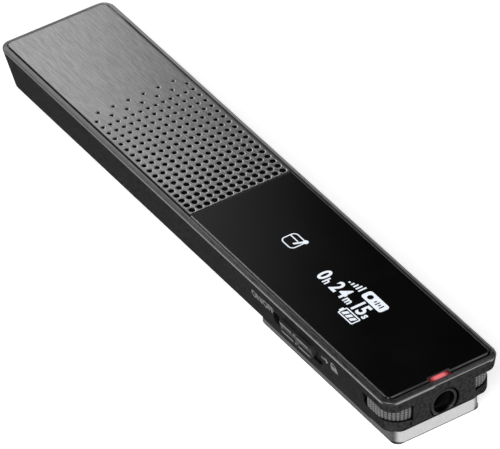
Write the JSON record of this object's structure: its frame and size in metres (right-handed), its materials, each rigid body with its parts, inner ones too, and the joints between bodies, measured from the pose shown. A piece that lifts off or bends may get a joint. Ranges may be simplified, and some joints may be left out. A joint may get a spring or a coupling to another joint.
{
  "type": "handheld voice recorder",
  "caption": "Slim bar-shaped voice recorder with a perforated speaker plate, black display window, corner microphones, side switch and keys, and a sprung belt clip.",
  "frame": {"origin": "centre of the bounding box at the underside of the belt clip", "axes": "+Y along the body from the headphone socket towards the speaker end, +Z out of the front plate, +X towards the side with the keys"},
  "size_m": [0.02, 0.102, 0.0097],
  "materials": {
    "dark_anodised": "fine satin dark grey metal finish",
    "rim_metal": "dark grey metal with a bright diamond-cut edge",
    "brushed_plate": "dark anodised aluminium, brushed lengthways",
    "window_black": "polished black window",
    "display_face": "dark display panel",
    "adhesive": "thin black adhesive frame",
    "mesh_cloth": "fine black acoustic cloth",
    "black_plastic": "matt black moulded plastic",
    "soft_black": "soft black rubber",
    "flex_film": "amber polyimide film",
    "board_green": "green fibreglass board",
    "chip_black": "black epoxy chip package",
    "steel": "plain steel",
    "pin_steel": "polished hard steel",
    "cell_wrap": "aluminium laminate pouch",
    "foam": "thin double-sided foam tape",
    "light_red": "clear red light guide",
    "lamp_white": "small surface-mounted lamp",
    "grille_metal": "ribbed satin metal",
    "key_metal": "satin dark metal key",
    "knob_metal": "satin dark metal knob with two rows of ribs",
    "clip_metal": "satin silver aluminium"
  },
  "bodies": {
    "case": {"rear_case": "dark_anodised", "front_rim": "rim_metal", "front_plate": "brushed_plate", "display_window": "window_black", "plate_tape": "adhesive", "window_tape": "adhesive", "speaker_mesh": "mesh_cloth", "speaker_gasket": "soft_black", "speaker": "black_plastic", "oled_panel": "display_face", "oled_flex": "flex_film", "main_board": "board_green", "processor_chip": "chip_black", "memory_chip": "chip_black", "board_screws": "steel", "battery_cell": "cell_wrap", "battery_pad": "foam", "headphone_jack": "black_plastic", "jack_ring": "black_plastic", "jack_terminals": "steel", "record_light": "light_red", "record_led": "lamp_white", "mic_grille_left": "grille_metal", "mic_grille_right": "grille_metal", "mic_boot_left": "soft_black", "mic_boot_right": "soft_black", "mic_capsule_left": "steel", "mic_capsule_right": "steel", "usb_socket": "steel", "usb_tongue": "black_plastic", "slide_switch": "black_plastic", "key_switches": "black_plastic", "clip_bracket": "steel", "bracket_screws": "steel", "clip_spring": "pin_steel"},
    "clip": {"clip_plate": "clip_metal", "clip_pin": "pin_steel"},
    "switch": {"switch_knob": "knob_metal"},
    "record_button": {"record_key": "key_metal"},
    "stop_button": {"stop_key": "key_metal"},
    "play_button": {"play_key": "key_metal"},
    "forward_button": {"forward_key": "key_metal"},
    "rewind_button": {"rewind_key": "key_metal"},
    "back_button": {"back_key": "key_metal"},
    "option_button": {"option_key": "key_metal"}
  },
  "joints": [
    {"name": "clip_pivot", "type": "hinge", "parent": "case", "child": "clip", "pos_m": [0, -0.0267, 0.00155], "axis": [1, 0, 0], "range_deg": [0, 7.5], "stiffness_Nm_per_rad": 0.05, "springref_deg": -11.46},
    {"name": "switch_slide", "type": "slide", "parent": "case", "child": "switch", "axis": [0, 1, 0], "range_m": [-0.0019, 0.0019]},
    {"name": "record_button_press", "type": "slide", "parent": "case", "child": "record_button", "axis": [-1, 0, 0], "range_m": [0, 0.0002], "stiffness_N_per_m": 200},
    {"name": "stop_button_press", "type": "slide", "parent": "case", "child": "stop_button", "axis": [-1, 0, 0], "range_m": [0, 0.0002], "stiffness_N_per_m": 200},
    {"name": "play_button_press", "type": "slide", "parent": "case", "child": "play_button", "axis": [-1, 0, 0], "range_m": [0, 0.0002], "stiffness_N_per_m": 200},
    {"name": "forward_button_press", "type": "slide", "parent": "case", "child": "forward_button", "axis": [-1, 0, 0], "range_m": [0, 0.0002], "stiffness_N_per_m": 200},
    {"name": "rewind_button_press", "type": "slide", "parent": "case", "child": "rewind_button", "axis": [-1, 0, 0], "range_m": [0, 0.0002], "stiffness_N_per_m": 200},
    {"name": "back_button_press", "type": "slide", "parent": "case", "child": "back_button", "axis": [-1, 0, 0], "range_m": [0, 0.0002], "stiffness_N_per_m": 200},
    {"name": "option_button_press", "type": "slide", "parent": "case", "child": "option_button", "axis": [-1, 0, 0], "range_m": [0, 0.0002], "stiffness_N_per_m": 200}
  ]
}
